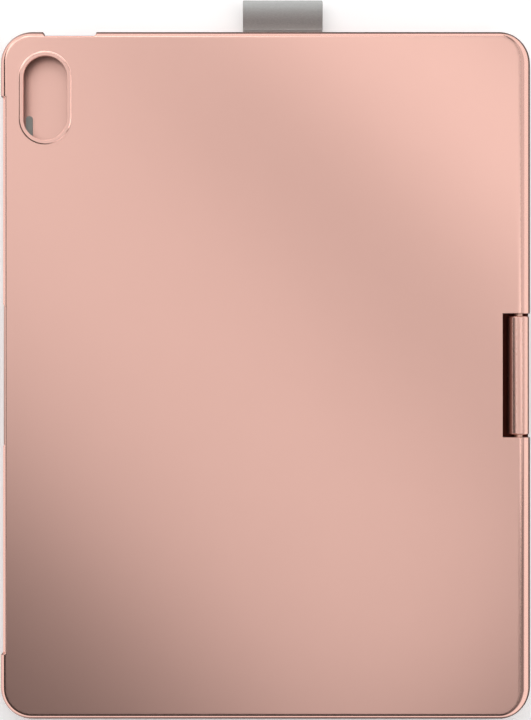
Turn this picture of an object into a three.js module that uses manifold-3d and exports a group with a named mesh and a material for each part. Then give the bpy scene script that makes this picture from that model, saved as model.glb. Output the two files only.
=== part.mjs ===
// A keyboard case for an 11-inch tablet, closed, lying on its feet. Millimetres, +Z up.
// X runs along the hinge, -Y is the edge that opens, +Y is the hinge edge.
// The base holds the keyboard and the trackpad. A short barrel stands on a swivel post at the
// middle of the base's rear edge, and the lid, a tray for the tablet, tilts on the barrel's pins.
import * as THREE from "three";
import { mergeVertices } from "three/addons/utils/BufferGeometryUtils.js";
import Module from "manifold-3d";

const wasm = await Module();
wasm.setup();

// ---------------------------------------------------------------- driving dimensions
const TABLET = { long: 247.6, wide: 178.5, thick: 5.9 };
const GAP = 0.3; // between neighbours that are cut to fit each other
const RUNNING = 0.1; // between a shaft and the hole it turns in
const SEATED = 0.05; // between a shaft and the hole that holds it
const FAR = 400; // further than anything in the case

const LID = {
  long: 251.9,
  deep: 194.3,
  thick: 8.4,
  corner: 11.5,
  wall: 1.95,
  plate: 1.4,
  fillet: 2.1,
  lip: 1.1, // how far the corner lips reach over the tablet's face
  lipThick: 0.55,
  lipRun: 22, // length of a lip along each edge from the corner
};
const LIP_SLACK = 0.4; // play around the tablet, both sides together

const FOOT_HIGH = 1.2;
const COVER_THICK = 1.2;
const SEAM = 0.1; // between the bottom cover and the deck
const BASE_TOP = 8.0;
const LID_GAP = 0.6; // between the deck and the closed lid
const BASE_INSET = 0.4; // the base stands this far inside the lid's outline
const BASE_PROUD = 0.15; // except at the front, where it reaches this far past it
const BASE_WALL = 1.6;
const DECK_UNDER = 6.2; // underside of the deck's top plate
const WELL_FLOOR = 6.8; // the keys stand in a well below the palm rest

const CAMERA = { x: -101.55, y: -80.75, wide: 16.0, long: 30.9, rim: 1.95, rimHigh: 0.3 };
const POWER_CUT = { from: -81.6, to: -62.1, depth: 1.6 };
const FRONT_CUT = { half: 102.3, depth: 1.85, chamfer: 0.7 };
const HINGE_NOTCH = { half: 22.7, depth: 10.45 };

const BARREL = { half: 21.7, radius: 3.9, boreDeep: 9, chamfer: 0.4 };
const PIN = { radius: 1.6, inBarrel: 8, inLid: 10 };
const POST = { radius: 2.4, collar: 3.6, nut: 3.1, collarHigh: 0.95, top: 12.2 };
const BLOCK = { half: 23.7, front: 83.2, rear: 97.1, top: 7.9 };

const KEY = { pitch: 16.5, gap: 2.0, functionPitch: 11.5, top: 7.9, bottom: 5.6, web: 0.4 };
const KEY_CLEAR = 0.5; // around a key in its opening
const KEY_ROWS_REAR = 76.5; // rear edge of the function row
const ROW_UNITS = 14.5; // every row is this many key pitches long

const PAD = { half: 52.5, rear: -24, front: -86, corner: 3, top: 7.9, thick: 0.9, clear: 0.4 };
const BUMPER = { long: 12, wide: 2.6, high: 0.5, x: 89.9, front: -87.45, rear: 80.4 };
const FOOT = { long: 22, wide: 6, x: 98, y: 82 };
const LOOP = { y: 6.3, wide: 29.6, reach: 13.3, stem: 2.75, high: 8.0, thick: 1.0, z: 4.4 };
const PORT = { y: 81.5, z: 4.5, wide: 8.4, high: 2.6 };
const SWITCH = { y: 81.5, z: 4.7 };
const LIGHT = { x: 100, y: 85, radius: 1.0 };
const SCREW = { head: 1.6, headHigh: 0.7, shaft: 0.8, clear: 0.3 };
const SCREW_PLACES = [[-117, -86], [117, -86], [-40, 87], [40, 87]];

// ---------------------------------------------------------------- levels worked out from them
const COVER_TOP = FOOT_HIGH + COVER_THICK;
const DECK_LOW = COVER_TOP + SEAM;
const LID_LOW = BASE_TOP + LID_GAP;
const LID_TOP = LID_LOW + LID.thick;
const PLATE_UNDER = LID_TOP - LID.plate;
const LID_X = LID.long / 2;
const LID_Y = LID.deep / 2;
const TRAY = {
  x: LID_X - LID.wall,
  front: -LID_Y + LID.wall,
  rear: -LID_Y + LID.wall + TABLET.wide + LIP_SLACK,
};
const TRAY_MIDDLE = (TRAY.front + TRAY.rear) / 2;
const TABLET_MIDDLE = PLATE_UNDER - 0.5 - TABLET.thick / 2;
const HINGE = { y: LID_Y - LID.thick / 2, z: LID_LOW + LID.thick / 2 };
const BASE = { x: LID_X - BASE_INSET, front: -LID_Y - BASE_PROUD, rear: LID_Y - BASE_INSET };
const BASE_CORNER = LID.corner - BASE_INSET;

// ---------------------------------------------------------------- materials
const finish = (color, roughness, metalness) =>
  new THREE.MeshStandardMaterial({ color, roughness, metalness });
const MATERIAL = {
  shell: finish(0xe2b3a7, 0.38, 0.75),
  key: finish(0xf1efee, 0.55, 0),
  pad: finish(0xe8c3b9, 0.3, 0.2),
  rubber: finish(0x8b8d8c, 0.8, 0),
  steel: finish(0xb9bbbe, 0.35, 1),
  membrane: finish(0xd8dad9, 0.7, 0),
  acrylic: finish(0xeef3f6, 0.15, 0),
  board: finish(0x2f6b45, 0.5, 0.1),
  battery: finish(0x9aa0a6, 0.4, 0.6),
  elastic: finish(0x8f8f8d, 0.9, 0),
  felt: finish(0x77757a, 0.95, 0),
  plastic: finish(0x4b4a4c, 0.5, 0),
  dark: finish(0x3b2723, 0.45, 0.7),
};

// ---------------------------------------------------------------- solids
// A closed three.js geometry as a solid.
function solidOf(geometry) {
  const bare = geometry.clone();
  bare.deleteAttribute("normal");
  bare.deleteAttribute("uv");
  const merged = mergeVertices(bare, 1e-4);
  return new wasm.Manifold(
    new wasm.Mesh({
      numProp: 3,
      vertProperties: new Float32Array(merged.attributes.position.array),
      triVerts: new Uint32Array(merged.index.array),
    }),
  );
}

// A solid as a three.js geometry.
function geometryOf(solid) {
  const mesh = solid.getMesh();
  const points = new Float32Array(mesh.numVert * 3);
  for (let i = 0; i < mesh.numVert; i++) {
    for (let k = 0; k < 3; k++) points[3 * i + k] = mesh.vertProperties[mesh.numProp * i + k];
  }
  const geometry = new THREE.BufferGeometry();
  geometry.setAttribute("position", new THREE.BufferAttribute(points, 3));
  geometry.setIndex(new THREE.BufferAttribute(new Uint32Array(mesh.triVerts), 1));
  geometry.computeVertexNormals();
  return geometry;
}

const union = (...solids) => solids.reduce((all, next) => all.add(next));
const cut = (solid, ...tools) => tools.reduce((left, tool) => left.subtract(tool), solid);

function block(x0, x1, y0, y1, z0, z1) {
  const box = new THREE.BoxGeometry(x1 - x0, y1 - y0, z1 - z0);
  return solidOf(box.translate((x0 + x1) / 2, (y0 + y1) / 2, (z0 + z1) / 2));
}

function roundedRect(x0, x1, y0, y1, r) {
  const shape = new THREE.Shape();
  shape.moveTo(x0 + r, y0);
  shape.absarc(x1 - r, y0 + r, r, -Math.PI / 2, 0);
  shape.absarc(x1 - r, y1 - r, r, 0, Math.PI / 2);
  shape.absarc(x0 + r, y1 - r, r, Math.PI / 2, Math.PI);
  shape.absarc(x0 + r, y0 + r, r, Math.PI, 1.5 * Math.PI);
  return shape;
}

// A slot shape with round ends, long along its first axis.
function slotShape(x, y, long, wide) {
  const shape = new THREE.Shape();
  const reach = (long - wide) / 2;
  shape.absarc(x + reach, y, wide / 2, -Math.PI / 2, Math.PI / 2);
  shape.absarc(x - reach, y, wide / 2, Math.PI / 2, 1.5 * Math.PI);
  return shape;
}

function polygon(points) {
  return new THREE.Shape(points.map(([x, y]) => new THREE.Vector2(x, y)));
}

// A shape in X and Y, standing from z0 to z1, with its edges rounded where fillet is given.
function prism(shape, z0, z1, { fillet = 0, steps = 5, fine = 2 } = {}) {
  const geometry = new THREE.ExtrudeGeometry(shape, {
    depth: z1 - z0 - 2 * fillet,
    curveSegments: steps,
    bevelEnabled: fillet > 0,
    bevelThickness: fillet,
    bevelSize: fillet,
    bevelOffset: -fillet,
    bevelSegments: fine,
  });
  return solidOf(geometry.translate(0, 0, z0 + fillet));
}

// A shape in Y and Z, running from x0 to x1.
function alongX(shape, x0, x1, options) {
  const turn = new THREE.Matrix4().makeBasis(
    new THREE.Vector3(0, 1, 0),
    new THREE.Vector3(0, 0, 1),
    new THREE.Vector3(1, 0, 0),
  );
  return prism(shape, x0, x1, options).transform(turn.toArray());
}

// A shape in Z and X, running from y0 to y1.
function alongY(shape, y0, y1, options) {
  const turn = new THREE.Matrix4().makeBasis(
    new THREE.Vector3(0, 0, 1),
    new THREE.Vector3(1, 0, 0),
    new THREE.Vector3(0, 1, 0),
  );
  return prism(shape, y0, y1, options).transform(turn.toArray());
}

function circle(x, y, r) {
  const shape = new THREE.Shape();
  shape.absarc(x, y, r, 0, 2 * Math.PI);
  return shape;
}

const rod = (x, y, r, z0, z1, steps = 8) => prism(circle(x, y, r), z0, z1, { steps });
const axle = (r, x0, x1, steps = 10) => alongX(circle(HINGE.y, HINGE.z, r), x0, x1, { steps });

// Keeps what lies above a level.
const above = (solid, level) => solid.intersect(block(-FAR, FAR, -FAR, FAR, level, FAR));

// ---------------------------------------------------------------- the tree of pieces
const part = new THREE.Group();
part.position.x = LOOP.reach / 2; // the origin is under the middle of the whole footprint

function group(name) {
  const made = new THREE.Group();
  made.name = name;
  part.add(made);
  return made;
}

const base = group("");
const swivel = group("");
const lid = group("");
const keys = group("");

function piece(parent, name, material, solid) {
  const mesh = new THREE.Mesh(geometryOf(solid), MATERIAL[material]);
  mesh.name = name;
  parent.add(mesh);
}

const SIDES = [["left", -1], ["right", 1]];

// ---------------------------------------------------------------- keys
// Widths are in key pitches. A name makes a key of its own, and the rest of a row is one web.
const one = (count) => Array.from({ length: count }, () => ({ units: 1 }));
const ROWS = [
  { web: "function_row_keys", keys: Array.from({ length: 14 }, () => ({ units: ROW_UNITS / 14 })) },
  { web: "number_row_keys", keys: [...one(13), { units: 1.5, name: "backspace_key" }] },
  { web: "upper_letter_keys", keys: [{ units: 1.5, name: "tab_key" }, ...one(13)] },
  {
    web: "home_letter_keys",
    keys: [
      { units: 1.75, name: "caps_lock_key" },
      ...one(11),
      { units: 1.75, name: "enter_key" },
    ],
  },
  {
    web: "lower_letter_keys",
    keys: [
      { units: 2.25, name: "left_shift_key" },
      ...one(10),
      { units: 2.25, name: "right_shift_key" },
    ],
  },
  {
    keys: [
      ...one(3).map((key) => ({ ...key, web: "left_modifier_keys" })),
      { units: 1.25, web: "left_modifier_keys" },
      { units: 5, name: "space_bar" },
      { units: 1.25, web: "right_modifier_keys" },
      { units: 1, web: "right_modifier_keys" },
      { units: 1, name: "arrow_left_key" },
      { units: 1, halves: ["arrow_up_key", "arrow_down_key"] },
      { units: 1, name: "arrow_right_key" },
    ],
  },
];

// Every key's rectangle, with the node it belongs to.
function keyPlaces() {
  const places = [];
  let rear = KEY_ROWS_REAR;
  ROWS.forEach((row, index) => {
    const pitch = index === 0 ? KEY.functionPitch : KEY.pitch;
    const high = pitch - KEY.gap;
    let left = (-ROW_UNITS * KEY.pitch) / 2;
    for (const key of row.keys) {
      const x0 = left + KEY.gap / 2;
      const x1 = left + key.units * KEY.pitch - KEY.gap / 2;
      const y1 = rear - KEY.gap / 2;
      const y0 = y1 - high;
      if (key.halves) {
        const middle = (y0 + y1) / 2;
        places.push({ node: key.halves[0], x0, x1, y0: middle + KEY_CLEAR, y1 });
        places.push({ node: key.halves[1], x0, x1, y0, y1: middle - KEY_CLEAR });
      } else {
        places.push({ node: key.name ?? key.web ?? row.web, x0, x1, y0, y1 });
      }
      left += key.units * KEY.pitch;
    }
    rear -= pitch;
  });
  return places;
}
const KEYS = keyPlaces();
const KEYS_FRONT = Math.min(...KEYS.map((key) => key.y0));
const KEYS_LEFT = Math.min(...KEYS.map((key) => key.x0));

const keycap = ({ x0, x1, y0, y1 }) => block(x0, x1, y0, y1, KEY.bottom, KEY.top);

function keyNodes() {
  const nodes = new Map();
  for (const key of KEYS) nodes.set(key.node, [...(nodes.get(key.node) ?? []), key]);
  for (const [name, members] of nodes) {
    const x0 = Math.min(...members.map((key) => key.x0));
    const x1 = Math.max(...members.map((key) => key.x1));
    const middle = (members[0].y0 + members[0].y1) / 2;
    const caps = union(...members.map(keycap));
    const strip = block(x0 + 1, x1 - 1, middle - 2, middle + 2, KEY.bottom, KEY.bottom + KEY.web);
    piece(keys, name, "key", members.length > 1 ? union(caps, strip) : caps);
  }
}

// ---------------------------------------------------------------- base
const baseOutline = (inset) =>
  roundedRect(
    -BASE.x + inset,
    BASE.x - inset,
    BASE.front + inset,
    BASE.rear - inset,
    BASE_CORNER - inset,
  );

// The scoop in the front edge where a finger lifts the lid.
function fingerScoop() {
  const rim = 26.3;
  const floor = 22.5;
  const deep = 3.2;
  const plan = polygon([
    [-rim - 1, BASE.front - 1],
    [rim + 1, BASE.front - 1],
    [rim, BASE.front],
    [floor, BASE.front + deep],
    [-floor, BASE.front + deep],
    [-rim, BASE.front],
  ]);
  return prism(plan, 5.2, BASE_TOP + 1);
}

// The trackpad's rectangle, with an inset on every side.
const padOutline = (inset) =>
  roundedRect(
    -PAD.half + inset,
    PAD.half - inset,
    PAD.front + inset,
    PAD.rear - inset,
    PAD.corner - inset,
  );

function topDeck() {
  const shell = above(prism(baseOutline(0), DECK_LOW - 1, BASE_TOP, { fillet: 0.5 }), DECK_LOW);
  const hollow = prism(baseOutline(BASE_WALL), DECK_LOW - 1, DECK_UNDER);
  const well = roundedRect(KEYS_LEFT - 2, -KEYS_LEFT + 2, KEYS_FRONT - 2, KEY_ROWS_REAR + 1, 3);
  const openings = KEYS.map(({ x0, x1, y0, y1 }) =>
    block(
      x0 - KEY_CLEAR + 0.1,
      x1 + KEY_CLEAR - 0.1,
      y0 - KEY_CLEAR + 0.1,
      y1 + KEY_CLEAR - 0.1,
      DECK_UNDER - 1,
      WELL_FLOOR + 0.5,
    ),
  );
  const padOpening = prism(padOutline(-PAD.clear), DECK_UNDER - 1, BASE_TOP + 1, { steps: 2 });
  const bosses = SCREW_PLACES.map(([x, y]) => rod(x, y, 2.6, DECK_LOW, DECK_UNDER + 0.2, 5));
  const threads = SCREW_PLACES.map(([x, y]) =>
    rod(x, y, SCREW.shaft + SCREW.clear, DECK_LOW - 1, DECK_UNDER - 0.6, 4),
  );
  const scoopWall = block(-28, 28, BASE.front + 0.6, BASE.front + 4.8, DECK_LOW, DECK_UNDER + 0.2);
  const rearGap = block(-BLOCK.half - GAP, BLOCK.half + GAP, BLOCK.front - GAP, FAR, 0, FAR);
  const portHole = slotShape(PORT.y, PORT.z, PORT.wide + 1.8, PORT.high + 1.6);
  const switchSlot = slotShape(SWITCH.y, SWITCH.z, 7.4, 2.0);
  const loopSlot = roundedRect(
    LOOP.y - LOOP.wide / 2 - 0.4,
    LOOP.y + LOOP.wide / 2 + 0.4,
    LOOP.z - 0.9,
    LOOP.z + 0.9,
    0.2,
  );
  return cut(
    union(cut(shell, hollow), scoopWall, ...bosses),
    prism(well, WELL_FLOOR, BASE_TOP + 1, { steps: 2 }),
    ...openings,
    padOpening,
    ...threads,
    rearGap,
    fingerScoop(),
    alongX(portHole, BASE.x - 3, BASE.x + 1, { steps: 3 }),
    alongX(switchSlot, -BASE.x - 1, -BASE.x + 3, { steps: 3 }),
    alongX(loopSlot, -BASE.x - 1, -BASE.x + 3, { steps: 1 }),
    rod(LIGHT.x, LIGHT.y, LIGHT.radius + GAP, DECK_UNDER - 1, BASE_TOP + 1, 5),
  );
}

function bottomCover() {
  const whole = prism(baseOutline(0), FOOT_HIGH, COVER_TOP + 3, { fillet: 1.1 });
  const plate = cut(whole, block(-FAR, FAR, -FAR, FAR, COVER_TOP, FAR));
  const heads = SCREW_PLACES.map(([x, y]) =>
    rod(x, y, SCREW.head + SCREW.clear, FOOT_HIGH - 1, FOOT_HIGH + SCREW.headHigh + 0.15, 6),
  );
  const shafts = SCREW_PLACES.map(([x, y]) =>
    rod(x, y, SCREW.shaft + SCREW.clear, FOOT_HIGH - 1, COVER_TOP + 1, 4),
  );
  return cut(plate, ...heads, ...shafts);
}

function screw(x, y) {
  const low = FOOT_HIGH + 0.1;
  const head = rod(x, y, SCREW.head, low, low + SCREW.headHigh, 6);
  const shaft = rod(x, y, SCREW.shaft, low + 0.1, DECK_UNDER - 1, 4);
  const socket = rod(x, y, 0.7, low - 1, low + 0.4, 1);
  return cut(union(head, shaft), socket);
}

function basePieces() {
  piece(base, "base_bottom_cover", "shell", bottomCover());
  piece(base, "base_top_deck", "shell", topDeck());
  SCREW_PLACES.forEach(([x, y], i) => piece(base, `bottom_screw_${i + 1}`, "steel", screw(x, y)));

  const corners = [[-1, -1], [1, -1], [-1, 1], [1, 1]];
  corners.forEach(([sx, sy], i) => {
    const foot = slotShape(sx * FOOT.x, sy * FOOT.y, FOOT.long, FOOT.wide);
    piece(base, `rubber_foot_${i + 1}`, "rubber", prism(foot, 0, FOOT_HIGH, { steps: 4 }));
    const y = sy < 0 ? BUMPER.front : BUMPER.rear;
    const strip = slotShape(sx * BUMPER.x, y, BUMPER.long, BUMPER.wide);
    const bumper = prism(strip, BASE_TOP, BASE_TOP + BUMPER.high, { steps: 4 });
    piece(base, `deck_bumper_${i + 1}`, "rubber", bumper);
  });

  // Under the keys: light guide, steel plate, rubber dome sheet.
  const stack = (inset, z0, z1) =>
    block(KEYS_LEFT + inset, -KEYS_LEFT - inset, KEYS_FRONT + inset, KEY_ROWS_REAR - 1, z0, z1);
  piece(base, "backlight_panel", "acrylic", stack(1, 3.1, 3.5));
  piece(base, "key_support_plate", "steel", stack(0, 3.6, 4.05));
  piece(base, "key_dome_sheet", "membrane", stack(1, 4.1, 4.35));

  for (const [side, s] of SIDES) {
    const [x0, x1] = s < 0 ? [-112, -60] : [60, 112];
    const pouch = roundedRect(x0, x1, -84, -30, 2);
    piece(base, `battery_${side}`, "battery", prism(pouch, 2.6, 5.9, { steps: 2 }));
  }
  piece(base, "main_board", "board", block(58, 116, 79, 91, 2.7, 3.15));
  piece(base, "charging_port", "steel", chargingPort());
  piece(base, "status_light_pipe", "acrylic", rod(LIGHT.x, LIGHT.y, LIGHT.radius, 5.2, BASE_TOP - 0.05, 5));

  piece(
    base,
    "power_switch_body",
    "plastic",
    block(-BASE.x + BASE_WALL + 2.1, -BASE.x + BASE_WALL + 5.6, 77, 86, 3.2, 6.2),
  );
  const knob = union(
    block(-BASE.x - 0.3, -BASE.x + 3.4, SWITCH.y - 3.2, SWITCH.y - 0.4, SWITCH.z - 0.7, SWITCH.z + 0.7),
    block(-BASE.x + 1.9, -BASE.x + 3.4, SWITCH.y - 3.4, SWITCH.y, SWITCH.z - 1.3, SWITCH.z + 1.3),
  );
  piece(base, "power_switch_knob", "plastic", knob);

  const bracket = cut(
    prism(padOutline(-2.5), 4.6, DECK_UNDER - 0.05, { steps: 2 }),
    prism(padOutline(-1.9), 5.0, DECK_UNDER + 1, { steps: 2 }),
  );
  piece(base, "trackpad_bracket", "steel", bracket);
  piece(base, "trackpad_click_switch", "plastic", block(-3, 3, -82, -76, 5.05, 6.3));
  const plate = prism(padOutline(0), PAD.top - PAD.thick, PAD.top, { steps: 2 });
  piece(base, "trackpad_plate", "pad", plate);
  piece(base, "pencil_loop", "elastic", pencilLoop());
  piece(
    base,
    "pencil_loop_clamp",
    "steel",
    block(
      -BASE.x + BASE_WALL + 0.3,
      -BASE.x + BASE_WALL + 3.2,
      LOOP.y - LOOP.wide / 2 + 1,
      LOOP.y + LOOP.wide / 2 - 1,
      LOOP.z + LOOP.thick / 2 + 0.1,
      LOOP.z + LOOP.thick / 2 + 1.1,
    ),
  );
  piece(base, "hinge_block", "dark", hingeBlock());
}

// A metal shell with the socket open to the side of the base.
function chargingPort() {
  const outer = slotShape(PORT.y, PORT.z, PORT.wide + 1.0, PORT.high + 0.8);
  const inner = slotShape(PORT.y, PORT.z, PORT.wide + 0.4, PORT.high + 0.2);
  const mouth = BASE.x - 0.5;
  return cut(
    alongX(outer, mouth - 7.5, mouth, { steps: 3 }),
    alongX(inner, mouth - 6.5, mouth + 1, { steps: 3 }),
  );
}

// A drop-shaped loop in Z and X, pinched at the neck, moved out by an offset. It runs round from
// one angle to its mirror image, counted from the neck.
function dropShape(tip, neck, high, offset, from) {
  const half = (neck - tip) / 2;
  const rise = high / 2 / (0.75 * Math.sqrt(3)); // the curve below is this high at its highest
  const points = [];
  const steps = 40;
  for (let k = 0; k <= steps; k++) {
    const a = from + ((2 * Math.PI - 2 * from) * k) / steps;
    const run = -half * Math.sin(a);
    const climb = rise * (Math.cos(a) - Math.cos(2 * a));
    const length = Math.hypot(run, climb);
    points.push([
      LOOP.z + rise * Math.sin(a) * (1 - Math.cos(a)) - (offset * run) / length,
      (tip + neck) / 2 + half * Math.cos(a) + (offset * climb) / length,
    ]);
  }
  return polygon(points);
}

// An elastic band in a loop, open along Y, whose tail runs through the wall's slot.
function pencilLoop() {
  const tip = -LID_X - LOOP.reach + LOOP.thick;
  const neck = -BASE.x - LOOP.stem;
  const inside = LOOP.high - 2 * LOOP.thick;
  const low = LOOP.y - LOOP.wide / 2;
  const high = LOOP.y + LOOP.wide / 2;
  const ring = cut(
    alongY(dropShape(tip, neck, inside, LOOP.thick, 0.01), low, high),
    alongY(dropShape(tip, neck, inside, 0, Math.PI / 6), low - 1, high + 1),
  );
  const tail = block(
    neck - LOOP.thick,
    -BASE.x + BASE_WALL + 3.0,
    low,
    high,
    LOOP.z - LOOP.thick / 2,
    LOOP.z + LOOP.thick / 2,
  );
  return union(ring, tail);
}

// The dark block in the base that the swivel post turns in. Its top and rear face show.
function hingeBlock() {
  const body = block(-BLOCK.half, BLOCK.half, BLOCK.front, BLOCK.rear, DECK_LOW + 0.1, BLOCK.top);
  return cut(
    body,
    rod(0, HINGE.y, POST.radius + RUNNING, 0, FAR, 16),
    rod(0, HINGE.y, POST.nut + GAP, 0, 4.6),
  );
}

// ---------------------------------------------------------------- swivel and barrel
function swivelPieces() {
  const collarLow = BLOCK.top + 0.45;
  const collarTop = collarLow + POST.collarHigh;
  const post = union(
    rod(0, HINGE.y, POST.radius, 3.4, POST.top),
    rod(0, HINGE.y, POST.collar, collarLow, collarTop),
  );
  piece(swivel, "swivel_post", "steel", post);
  piece(
    swivel,
    "swivel_washer",
    "steel",
    cut(
      rod(0, HINGE.y, POST.collar, BLOCK.top + 0.05, collarLow - 0.05),
      rod(0, HINGE.y, POST.radius + RUNNING, 0, FAR),
    ),
  );
  piece(
    swivel,
    "swivel_nut",
    "steel",
    cut(
      rod(0, HINGE.y, POST.nut, 3.3, 4.3),
      rod(0, HINGE.y, POST.radius + SEATED, 0, FAR),
    ),
  );
  const barrel = alongX(circle(HINGE.y, HINGE.z, BARREL.radius), -BARREL.half, BARREL.half, {
    fillet: BARREL.chamfer,
    fine: 1,
    steps: 12,
  });
  const bores = SIDES.map(([, s]) => {
    const [x0, x1] = s < 0 ? [-FAR, -BARREL.half + BARREL.boreDeep] : [BARREL.half - BARREL.boreDeep, FAR];
    return axle(PIN.radius + SEATED, x0, x1, 6);
  });
  piece(
    swivel,
    "hinge_barrel",
    "shell",
    cut(
      barrel,
      ...bores,
      rod(0, HINGE.y, POST.radius + SEATED, 0, POST.top + GAP),
      rod(0, HINGE.y, POST.collar + SEATED, 0, collarTop + SEATED),
    ),
  );
  for (const [side, s] of SIDES) {
    const inner = BARREL.half - PIN.inBarrel;
    const outer = HINGE_NOTCH.half + PIN.inLid;
    const [x0, x1] = s < 0 ? [-outer, -inner] : [inner, outer];
    piece(swivel, `hinge_pin_${side}`, "steel", axle(PIN.radius, x0, x1, 6));
  }
}

// ---------------------------------------------------------------- lid
// The tray's mouth, narrowed by the lips at its corners.
function trayMouth() {
  const { x, front, rear } = TRAY;
  const corner = LID.corner - LID.wall;
  const inner = roundedRect(
    -x + LID.lip,
    x - LID.lip,
    front + LID.lip,
    rear - LID.lip,
    corner - LID.lip,
  );
  const low = LID_LOW - 1;
  const high = LID_LOW + LID.lipThick + 0.1;
  return union(
    prism(inner, low, high),
    block(-x + LID.lipRun, x - LID.lipRun, front, rear, low, high),
    block(-x, x, front + LID.lipRun, rear - LID.lipRun, low, high),
  );
}

// Openings in the side walls: power button, speakers, charging socket, buttons and stylus.
function wallOpenings() {
  const tools = [];
  const { half, depth, chamfer } = FRONT_CUT;
  const edge = -LID_Y + depth;
  const front = polygon([
    [-half, -LID_Y - 1],
    [half, -LID_Y - 1],
    [half, edge - chamfer],
    [half - chamfer, edge],
    [-half + chamfer, edge],
    [-half, edge - chamfer],
  ]);
  tools.push(prism(front, LID_LOW - 1, LID_TOP + 1));
  tools.push(block(-half, half, -LID_Y - 1, TRAY.front + 1, LID_LOW - 1, PLATE_UNDER));
  const button = block(
    -LID_X - 1,
    -LID_X + POWER_CUT.depth,
    POWER_CUT.from,
    POWER_CUT.to,
    LID_LOW - 1,
    LID_TOP + 1,
  );
  const behind = block(
    -LID_X - 1,
    -TRAY.x + 1,
    POWER_CUT.from,
    POWER_CUT.to,
    LID_LOW - 1,
    PLATE_UNDER,
  );
  tools.push(button, behind);
  const wallSlot = (s, y, long, high) => {
    const [x0, x1] = s < 0 ? [-LID_X - 1, -TRAY.x + 1] : [TRAY.x - 1, LID_X + 1];
    return alongX(slotShape(y, TABLET_MIDDLE, long, high), x0, x1, { steps: 3 });
  };
  for (const [, s] of SIDES) {
    for (const offset of [-42, 42]) tools.push(wallSlot(s, TRAY_MIDDLE + offset, 26, 2.6));
  }
  tools.push(wallSlot(1, TRAY_MIDDLE, 13, 5));
  return tools;
}

const POCKET = { near: HINGE_NOTCH.half + 1.2, far: 62, front: 86.0, top: LID_TOP - 1.4 };

// Room in the spine for a hinge bracket, open downwards until its trim closes it.
function bracketPocket(s) {
  const [x0, x1] = s < 0 ? [-POCKET.far, -POCKET.near] : [POCKET.near, POCKET.far];
  const wall = s < 0 ? [-POCKET.near - 1, -HINGE_NOTCH.half + 1] : [HINGE_NOTCH.half - 1, POCKET.near + 1];
  return union(
    block(x0, x1, POCKET.front, HINGE.y, LID_LOW - 1, POCKET.top),
    axle(LID.thick / 2 - 1.2, x0, x1, 8),
    axle(PIN.radius + 0.5, wall[0], wall[1], 6),
  );
}

function lidShell() {
  const outline = roundedRect(-LID_X, LID_X, -LID_Y, LID_Y, LID.corner);
  const slab = above(
    prism(outline, LID_LOW - 4, LID_TOP, { fillet: LID.fillet, fine: 3, steps: 7 }),
    LID_LOW,
  );
  const spine = new THREE.Shape();
  spine.moveTo(-FAR, LID_LOW);
  spine.absarc(HINGE.y, HINGE.z, LID.thick / 2, -Math.PI / 2, Math.PI / 2);
  spine.lineTo(-FAR, LID_TOP);
  const rim = slotShape(
    CAMERA.x,
    CAMERA.y,
    CAMERA.long + 2 * CAMERA.rim,
    CAMERA.wide + 2 * CAMERA.rim,
  );
  const camera = slotShape(CAMERA.x, CAMERA.y, CAMERA.long, CAMERA.wide);
  const tray = roundedRect(-TRAY.x, TRAY.x, TRAY.front, TRAY.rear, LID.corner - LID.wall);
  const rimEdge = { fillet: 0.3, fine: 1, steps: 8 };
  const outside = union(
    slab.intersect(alongX(spine, -FAR, FAR, { steps: 10 })),
    above(prism(rim, PLATE_UNDER, LID_TOP + CAMERA.rimHigh, rimEdge), LID_TOP - 1),
  );
  return cut(
    outside,
    prism(tray, LID_LOW + LID.lipThick, PLATE_UNDER),
    trayMouth(),
    prism(camera, 0, FAR, { steps: 8 }),
    block(-HINGE_NOTCH.half, HINGE_NOTCH.half, LID_Y - HINGE_NOTCH.depth, FAR, 0, FAR),
    ...wallOpenings(),
    ...SIDES.map(([, s]) => bracketPocket(s)),
  );
}

// A knuckle around the hinge pin with a leaf that is fastened in the spine.
function hingeBracket(s) {
  const near = POCKET.near + GAP;
  const [k0, k1] = s < 0 ? [-near - 9, -near] : [near, near + 9];
  const [l0, l1] = s < 0 ? [-POCKET.far + 1, -near] : [near, POCKET.far - 1];
  const knuckle = axle(2.65, k0, k1, 8);
  const leaf = block(l0, l1, POCKET.front + 0.4, HINGE.y, HINGE.z + 0.9, POCKET.top - GAP);
  return cut(union(knuckle, leaf), axle(PIN.radius + RUNNING, k0 - 1, k1 + 1, 12));
}

function lidPieces() {
  piece(lid, "lid_shell", "shell", lidShell());
  const lining = roundedRect(
    -TRAY.x + 0.5,
    TRAY.x - 0.5,
    TRAY.front + 0.5,
    TRAY.rear - 0.5,
    LID.corner - LID.wall - 0.5,
  );
  const hole = slotShape(CAMERA.x, CAMERA.y, CAMERA.long + 1.2, CAMERA.wide + 1.2);
  piece(
    lid,
    "tray_lining",
    "felt",
    cut(prism(lining, PLATE_UNDER - 0.45, PLATE_UNDER - 0.05), prism(hole, 0, FAR)),
  );
  for (const [side, s] of SIDES) {
    piece(lid, `lid_hinge_bracket_${side}`, "steel", hingeBracket(s));
    const [x0, x1] = s < 0 ? [-POCKET.far, -POCKET.near] : [POCKET.near, POCKET.far];
    const trim = block(
      x0 + GAP,
      x1 - GAP,
      POCKET.front + GAP,
      HINGE.y - 0.5,
      LID_LOW + 0.05,
      LID_LOW + 1.0,
    );
    piece(lid, `spine_trim_${side}`, "shell", trim);
  }
}

basePieces();
swivelPieces();
lidPieces();
keyNodes();

export default part;
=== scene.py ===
"""The looks of a closed tablet keyboard case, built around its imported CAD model. Metres, +Z up.

The hinge side is +Y, the opening edge is -Y, and the stylus loop sticks out to -X. Sizes below
are in millimetres from the middle of the lid, and P() turns them into metres. A tool that cuts
reaches a millimetre or more past what it cuts.
"""

import math

import bmesh
import bpy
from mathutils import Matrix, Vector


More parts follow.
